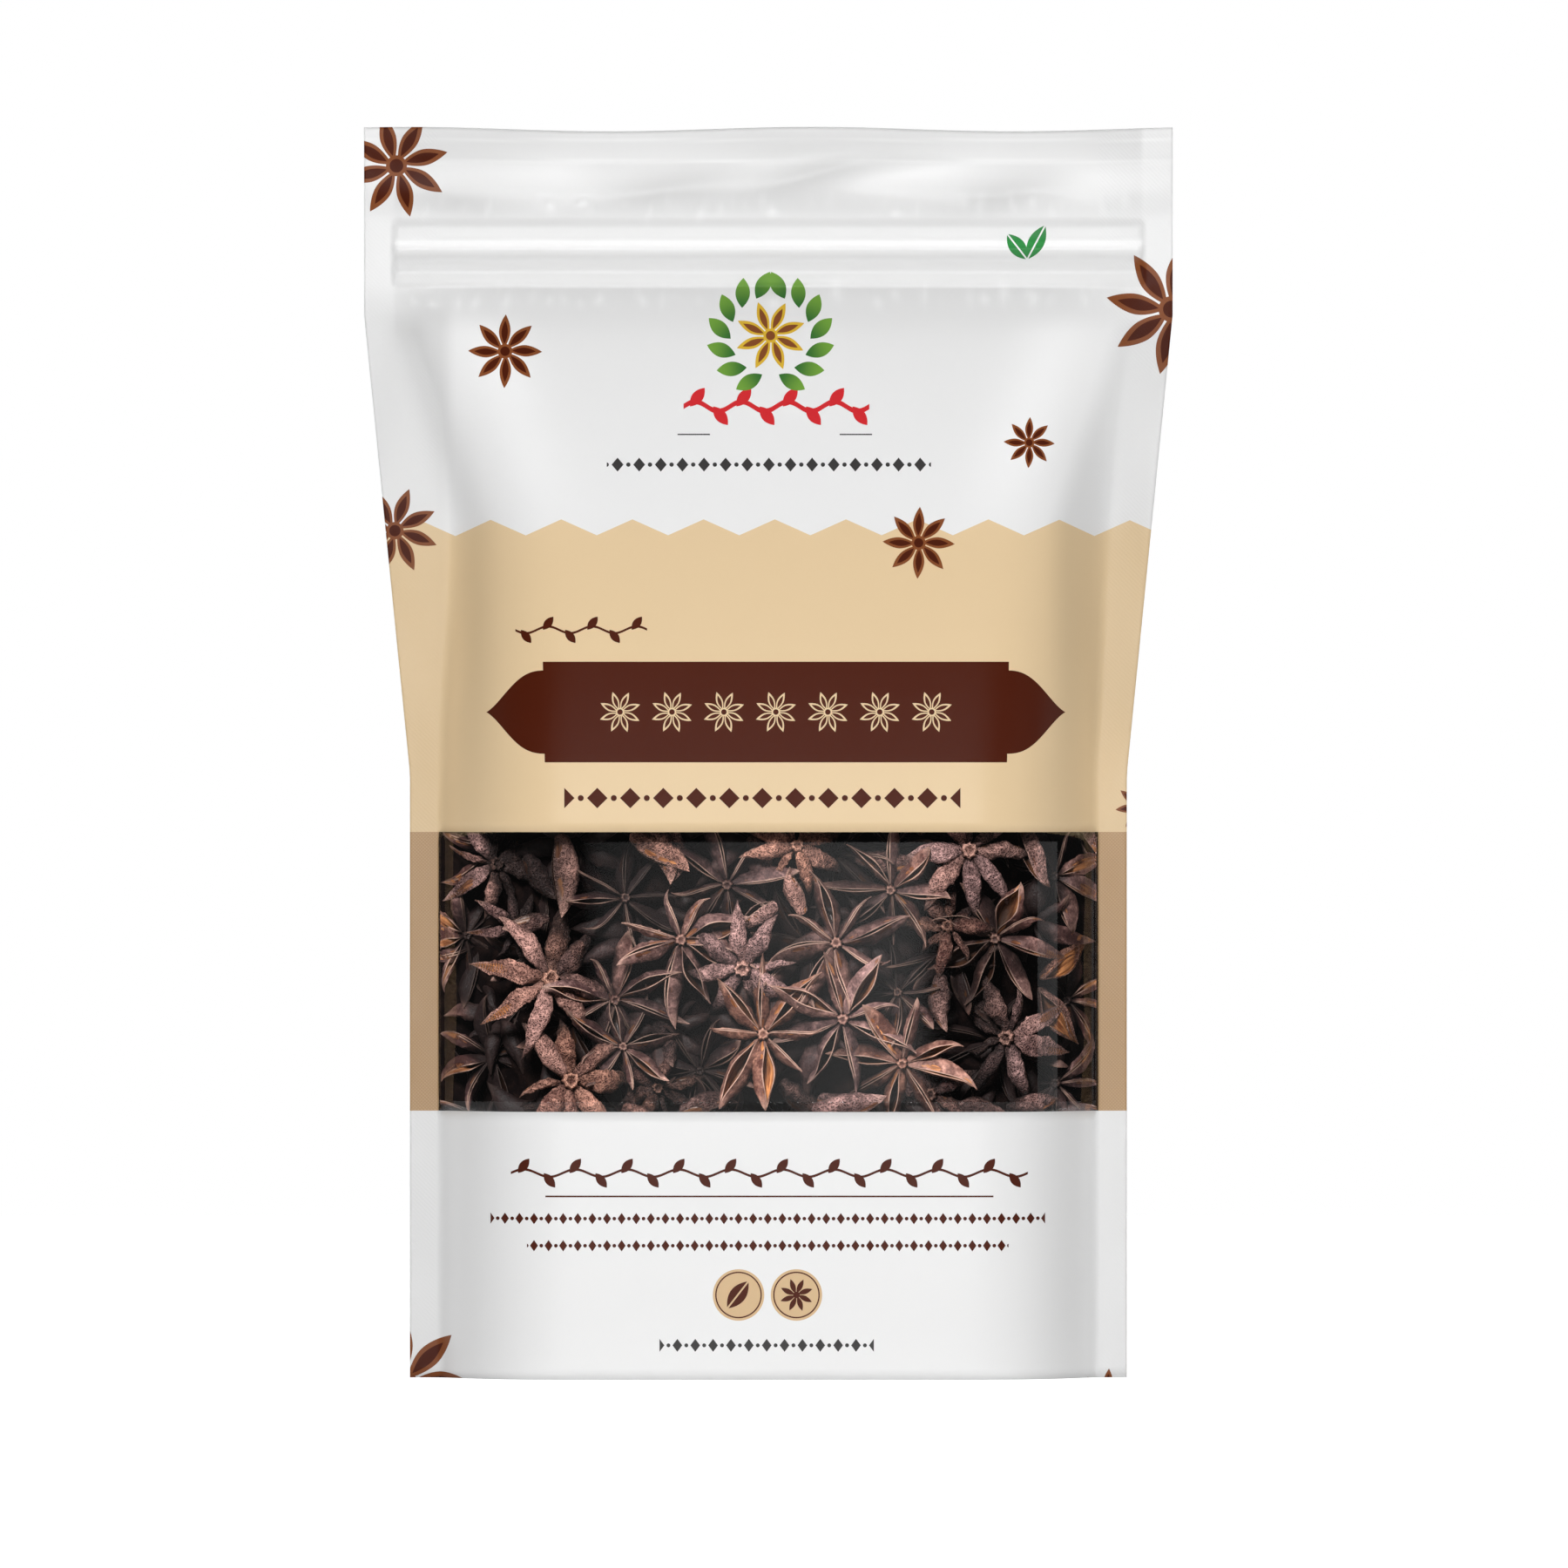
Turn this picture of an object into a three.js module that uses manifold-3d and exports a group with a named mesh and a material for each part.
// A stand-up zip pouch of whole star anise, with a clear window across its front.
// Millimetres, +Z up, front towards -Y. The origin is the middle of the base, where the pouch stands.
import * as THREE from "three";
import { mergeVertices } from "three/addons/utils/BufferGeometryUtils.js";
import Module from "manifold-3d";

const wasm = await Module();
wasm.setup();

// Driving dimensions of the pouch
const pouchHeight = 232;
const flatWidth = 150; // across the flat top, side seal to side seal
const filledWidth = 133; // across the filled lower half, which the bulge pulls in
const taperLow = 112; // height where the sides start to spread
const taperHigh = 197; // height where they reach the flat width
const sideSeal = 5.6; // flat heat-sealed strip down each side
const sealHalf = 0.4; // half of the sealed film's thickness
const bulge = 18.5; // how far each panel stands out from the middle plane
const shoulder = 27; // width over which a panel rounds down to its side seal
const footRound = 1.3; // above 1, the shoulder leaves the side seal in a small fillet
const fullBelow = 103; // height up to which the contents fill the pouch
const flatAbove = 200; // height where the panels meet again, below the zip
const fullnessStart = 0.8; // below 1, the panels part quickly under the zip
const fullnessEnd = 1.8; // above 1, the bulge levels out gently above the contents
const leftCrease = 6.8; // how far the pressed-flat film reaches in past the left side seal
const rightCrease = 2.4;
const creasePeak = [165, 176]; // heights between which it reaches that far
const bagColumns = 26;
const bagRows = 26;
const rowPower = 0.7; // below 1, rows crowd towards the top, where the shape changes
const columnCrowding = 0.6; // from 0 to 1, how much columns crowd towards the side seals

// The zip closure, which shows as a double ridge under both panels
const zipLow = 203;
const zipHigh = 213.2;
const zipHalfLength = 69.5;
const zipRaise = 0.5; // the flange over the film
const zipTrack = 0.75; // each track over the flange
const zipMiddle = (zipLow + zipHigh) / 2;
const zipEdge = 1; // height over which the flange's lower edge rises from the film

// The top edge's shallow waves
const topWaveLift = 0.45;
const topWaveSway = 1.3;
const topWaveCount = 2;
const topWaveStart = 0.9; // phase at the middle, in radians
const topWaveFrom = zipHigh + 2;

// The base: a flat rim to stand on round a gusset that is folded up
const baseRim = 2.6;
const gussetRise = 4;
const gussetEdge = 0.2; // height of the gusset where it leaves the rim
const gussetColumns = 20;
const gussetRows = 6;

// The clear window and the space behind it
const windowHalf = 59.5;
const windowLow = 49.5;
const windowHigh = 101.2;
const windowColumns = 24;
const windowRows = 4;
const pocketDepth = 12;
const filmThickness = 0.7; // measured along Y, so that it is thin where the panel is steep
const gap = 0.35; // clearance between touching pieces

// Star anise pods
const carpelCount = 8;
const hubDepth = 5.2; // the hub's depth behind the window film
const coreDepth = 7.6; // the packed pods behind, as a bumpy core
const coreBump = 0.9;
const coreColumns = 18;
const coreRows = 7;
const coreSkin = 0.8; // least thickness of the core at the window's sides

// A carpel's shape, as shares of its pod's reach
const shortestCarpel = 0.78;
const narrowestCarpel = 0.11; // from the groove to each lip
const carpelSwelling = 0.09; // what the widest carpel has more
const carpelRise = 0.22; // how much the most upturned carpel climbs along its length
const carpelStray = 0.16; // radians between the least and the most turned
const hubRadius = 0.2;
const hubUnder = -0.24;
const lipAlong = 0.56;
const keelAlong = 0.5;
const keelUnder = -0.3;

// The pods that show in the window: across, up, reach of the longest carpel, turn in degrees,
// lean about X and about Z in degrees, and 1 for the open side forwards or -1 for the back.
const pods = [
  [-51, 95, 11, 10, -8, 20, -1],
  [-38.5, 98, 10, 35, 15, -10, -1],
  [-26.5, 89, 13, 5, -10, 12, 1],
  [-20.5, 98, 10, 20, 12, 8, -1],
  [-7.6, 91, 13.5, 12, 10, -6, 1],
  [22.7, 90.5, 12, 40, 10, -12, 1],
  [36.9, 97.6, 13, 0, -6, 6, -1],
  [51, 92, 13, 22, 8, -16, 1],
  [-56, 82, 12, 18, 6, 26, 1],
  [-16.2, 81.3, 14, 26, 4, 5, 1],
  [12.6, 80.7, 14, 15, -5, -5, 1],
  [42, 81.5, 13.5, 28, 8, -10, 1],
  [57.5, 83, 11, 8, 0, -24, 1],
  [-40.3, 73.5, 13.5, 8, -8, 14, -1],
  [-28.4, 69.4, 13, 30, 10, 8, 1],
  [-6.5, 73.7, 12, 38, 14, -8, -1],
  [-51, 59.5, 13.5, 20, 6, 20, 1],
  [-36.7, 54.5, 13.5, 0, -6, 10, -1],
  [-26.9, 61, 12, 14, -8, 5, 1],
  [-1, 63.8, 15, 4, -6, 4, 1],
  [13.6, 66.4, 14, 18, 6, -4, 1],
  [24.8, 58.4, 13.5, 31, 12, -8, 1],
  [44.3, 63, 13.5, 24, 8, -14, -1],
  [53.3, 54.6, 13, 5, -6, -20, 1],
];

// Smooth rise from 0 to 1 between two values.
const ease = (value, from, to) => THREE.MathUtils.smoothstep(value, from, to);

// A repeatable number from 0 to 1 for each pair of counts.
function uneven(first, second) {
  const value = Math.sin(first * 12.9898 + second * 78.233) * 43758.5453;
  return value - Math.floor(value);
}

// Half the pouch's width at a height: narrow where filled, full width at the zip.
function halfWidth(z) {
  const share = THREE.MathUtils.clamp((z - taperLow) / (taperHigh - taperLow), 0, 1);
  return THREE.MathUtils.lerp(filledWidth, flatWidth, share) / 2;
}

// How full the pouch is at a height: 1 in the lower half, falling to 0 below the zip, and fastest there.
function fullness(z) {
  const share = THREE.MathUtils.clamp((flatAbove - z) / (flatAbove - fullBelow), 0, 1);
  return 1 - (1 - share ** fullnessStart) ** fullnessEnd;
}

// How far the film lies pressed flat past a side seal: nothing beside the contents, most under the zip.
function creaseInset(x, z) {
  const most = x < 0 ? leftCrease : rightCrease;
  return most * ease(z, fullBelow, creasePeak[0]) * (1 - ease(z, creasePeak[1], flatAbove));
}

// Distance of a panel from the middle plane: the seal's film, plus a bulge that rounds down to the side seals.
function panelDepth(x, z) {
  const inside = halfWidth(z) - sideSeal - creaseInset(x, z) - Math.abs(x);
  const share = THREE.MathUtils.clamp(inside / shoulder, 0, 1);
  const full = fullness(z);
  const rounded = (1 - (1 - share) ** 3) ** (footRound + 1 - full);
  return sealHalf + bulge * full * rounded;
}

// Sway of the flat top in depth, and the small lift of its edge that goes with it.
const topWave = (x) => Math.sin((x / flatWidth) * 2 * Math.PI * topWaveCount + topWaveStart);
const topShare = (z) => ease(z, topWaveFrom, pouchHeight);

// A closed box of the given divisions with every vertex moved by place(u, v, w), where u, v and w run 0 to 1.
function shapedBox(across, deep, up, place) {
  const geometry = new THREE.BoxGeometry(1, 1, 1, across, deep, up);
  geometry.deleteAttribute("normal");
  geometry.deleteAttribute("uv");
  const position = geometry.getAttribute("position");
  for (let i = 0; i < position.count; i++) {
    const point = place(position.getX(i) + 0.5, position.getY(i) + 0.5, position.getZ(i) + 0.5);
    position.setXYZ(i, point[0], point[1], point[2]);
  }
  return geometry;
}

// A three.js geometry as a manifold-3d solid.
function solidOf(geometry) {
  const bare = geometry.clone();
  bare.deleteAttribute("normal");
  bare.deleteAttribute("uv");
  const merged = mergeVertices(bare, 1e-4);
  return new wasm.Manifold(
    new wasm.Mesh({
      numProp: 3,
      vertProperties: merged.getAttribute("position").array,
      triVerts: new Uint32Array(merged.index.array),
    }),
  );
}

// A manifold-3d solid as a three.js geometry.
function geometryOf(solid) {
  const mesh = solid.getMesh();
  const geometry = new THREE.BufferGeometry();
  geometry.setAttribute("position", new THREE.BufferAttribute(new Float32Array(mesh.vertProperties), 3));
  geometry.setIndex(new THREE.BufferAttribute(new Uint32Array(mesh.triVerts), 1));
  geometry.computeVertexNormals();
  return geometry;
}

// The filled pouch: two bulged panels that meet at flat side seals and a flat top.
function bagSolid() {
  return solidOf(
    shapedBox(bagColumns, 1, bagRows, (u, v, w) => {
      const height = w ** rowPower * pouchHeight;
      const across = 2 * u - 1;
      const crowded = THREE.MathUtils.lerp(across, Math.sin((across * Math.PI) / 2), columnCrowding);
      const x = crowded * halfWidth(height);
      const depth = panelDepth(x, height);
      const sway = topWaveSway * topWave(x) * topShare(height);
      return [x, (2 * v - 1) * depth + sway, height + topWaveLift * (topWave(x) - 1) * topShare(height)];
    }),
  );
}

// The zip's section, carried along the pouch: on each face a flange with two tracks.
// The heights of the tracks' edges and crests are measured from the zip's middle.
function zipSolid() {
  const flange = sealHalf + zipRaise;
  const ridge = flange + zipTrack;
  const inner = sealHalf / 2;
  const face = [
    [inner, zipLow],
    [flange, zipLow + zipEdge],
    [flange, zipMiddle - 3.4],
    [ridge, zipMiddle - 2.4],
    [ridge, zipMiddle - 0.9],
    [flange, zipMiddle - 0.2],
    [ridge, zipMiddle + 0.9],
    [ridge, zipMiddle + 3],
    [flange, zipMiddle + 3.8],
    [inner, zipHigh],
  ];
  const outline = new THREE.Shape([
    ...face.map(([y, z]) => new THREE.Vector2(y, z)),
    ...face.reverse().map(([y, z]) => new THREE.Vector2(-y, z)),
  ]);
  const bar = new THREE.ExtrudeGeometry(outline, { depth: 2 * zipHalfLength, bevelEnabled: false, steps: 1 });
  // The outline's own axes are depth and height, and it is carried along X.
  const turn = new THREE.Matrix4().makeBasis(
    new THREE.Vector3(0, 1, 0),
    new THREE.Vector3(0, 0, 1),
    new THREE.Vector3(1, 0, 0),
  );
  bar.applyMatrix4(turn);
  bar.translate(-zipHalfLength, 0, 0);
  return solidOf(bar);
}

// What the folded-up gusset leaves empty under the pouch, inside the rim that it stands on.
function gussetHollow() {
  const reach = halfWidth(0) - sideSeal - 2 * baseRim;
  return solidOf(
    shapedBox(gussetColumns, gussetRows, 1, (u, v, w) => {
      const along = 2 * u - 1;
      const across = 2 * v - 1;
      const x = along * reach;
      const depth = panelDepth(x, 0) - baseRim;
      const arch = (1 - across ** 2) * (1 - along ** 8);
      return [x, across * depth, w === 0 ? -1 : gussetEdge + gussetRise * arch];
    }),
  );
}

// The space behind the window, from a face set back by front to a floor raised by rise, narrower by inset.
function windowSpace(front, rise, inset) {
  return solidOf(
    shapedBox(windowColumns, 1, windowRows, (u, v, w) => {
      const x = (2 * u - 1) * (windowHalf - inset);
      const z = THREE.MathUtils.lerp(windowLow + inset, windowHigh - inset, w);
      const depth = panelDepth(x, z);
      const floor = -Math.max(depth - pocketDepth, 0) - rise;
      return [x, v === 0 ? -depth + front : floor, z];
    }),
  );
}

// One pod of unit reach as a closed star: its boat-shaped carpels open towards +Z, with their keels below.
// Each carpel has a groove between two lips, which run out to the beak, and meets its neighbours in a valley.
function podGeometry(index) {
  const step = (2 * Math.PI) / carpelCount;
  const hubTop = 0;
  const hubBase = 1;
  const points = [0, 0, 0.02, 0, 0, hubUnder];
  const faces = [];
  const pointsPerCarpel = 6;
  for (let count = 0; count < carpelCount; count++) {
    const draw = uneven(index, count);
    const length = THREE.MathUtils.lerp(shortestCarpel, 1, draw);
    const half = narrowestCarpel + carpelSwelling * uneven(count, index);
    const rise = carpelRise * uneven(index + 7, count);
    const aim = step * count + carpelStray * (draw - 0.5);
    const valleyAim = step * (count - 0.5);
    const place = (along, side, up) => {
      points.push(
        along * Math.cos(aim) - side * Math.sin(aim),
        along * Math.sin(aim) + side * Math.cos(aim),
        up + rise * along,
      );
    };
    points.push(hubRadius * Math.cos(valleyAim), hubRadius * Math.sin(valleyAim), -0.08);
    place(lipAlong * length, -half, 0.06);
    place(keelAlong * length, 0, 0.04 - half);
    place(lipAlong * length, half, 0.06);
    place(length, 0, 0.08);
    place(keelAlong * length, 0, keelUnder);
    const valley = 2 + pointsPerCarpel * count;
    const nextValley = 2 + pointsPerCarpel * ((count + 1) % carpelCount);
    const [left, groove, right, beak, keel] = [1, 2, 3, 4, 5].map((offset) => valley + offset);
    faces.push(hubTop, valley, left, hubTop, left, groove, hubTop, groove, right, hubTop, right, nextValley);
    faces.push(groove, left, beak, groove, beak, right);
    faces.push(hubBase, keel, valley, valley, keel, left, left, keel, beak);
    faces.push(hubBase, nextValley, keel, nextValley, right, keel, right, beak, keel);
  }
  const geometry = new THREE.BufferGeometry();
  geometry.setAttribute("position", new THREE.Float32BufferAttribute(points, 3));
  geometry.setIndex(faces);
  return geometry;
}

// A pod at its true size, turned, leaning and behind the film as it lies.
function podSolid(pod, index) {
  const [x, z, reach, turn, leanX, leanZ, side] = pod;
  const geometry = podGeometry(index);
  geometry.scale(reach, reach, reach);
  geometry.rotateZ(THREE.MathUtils.degToRad(turn));
  // The open side faces the front, or the back where side is -1.
  geometry.rotateX((side * Math.PI) / 2);
  geometry.rotateX(THREE.MathUtils.degToRad(leanX));
  geometry.rotateZ(THREE.MathUtils.degToRad(leanZ));
  geometry.translate(x, -panelDepth(x, z) + hubDepth, z);
  return solidOf(geometry);
}

// The packed pods behind the first layer, as a core with bumps of their size.
function coreSolid() {
  return solidOf(
    shapedBox(coreColumns, 1, coreRows, (u, v, w) => {
      const x = (2 * u - 1) * windowHalf;
      const z = THREE.MathUtils.lerp(windowLow, windowHigh, w);
      const bump = coreBump * Math.sin(x * 0.55 + 1.3 * Math.sin(z * 0.3)) * Math.sin(z * 0.6 + x * 0.12);
      const depth = panelDepth(x, z);
      const floor = -Math.max(depth - pocketDepth, 0);
      return [x, v === 0 ? Math.min(floor - coreSkin, -depth + coreDepth - bump) : floor + 1, z];
    }),
  );
}

// The heap that shows in the window, cut to the space that the pouch leaves it, without loose scraps.
function heapSolid() {
  const heap = wasm.Manifold.union([coreSolid(), ...pods.map(podSolid)]);
  const cut = heap.intersect(windowSpace(filmThickness + gap, gap, gap));
  return cut.decompose().reduce((largest, piece) => (piece.volume() > largest.volume() ? piece : largest));
}

// The clear film over the window, flush with the printed panel round it.
function windowFilm() {
  return shapedBox(windowColumns, 1, windowRows, (u, v, w) => {
    const x = (2 * u - 1) * (windowHalf - gap);
    const z = THREE.MathUtils.lerp(windowLow + gap, windowHigh - gap, w);
    return [x, -panelDepth(x, z) + v * filmThickness, z];
  });
}

// A named mesh with its finish.
function piece(name, geometry, finish) {
  const mesh = new THREE.Mesh(geometry, new THREE.MeshStandardMaterial(finish));
  mesh.name = name;
  return mesh;
}

const pouchSolid = bagSolid()
  .add(zipSolid())
  .subtract(gussetHollow())
  .subtract(windowSpace(-3, 0, 0));

const starAnisePouch = new THREE.Group();
starAnisePouch.add(
  piece("pouch", geometryOf(pouchSolid), { color: 0xededed, roughness: 0.35, metalness: 0 }),
  piece("window_film", windowFilm(), {
    color: 0xffffff,
    roughness: 0.08,
    metalness: 0,
    transparent: true,
    opacity: 0.2,
  }),
  piece("star_anise_heap", geometryOf(heapSolid()), { color: 0x4d3029, roughness: 0.75, metalness: 0 }),
);

export default starAnisePouch;
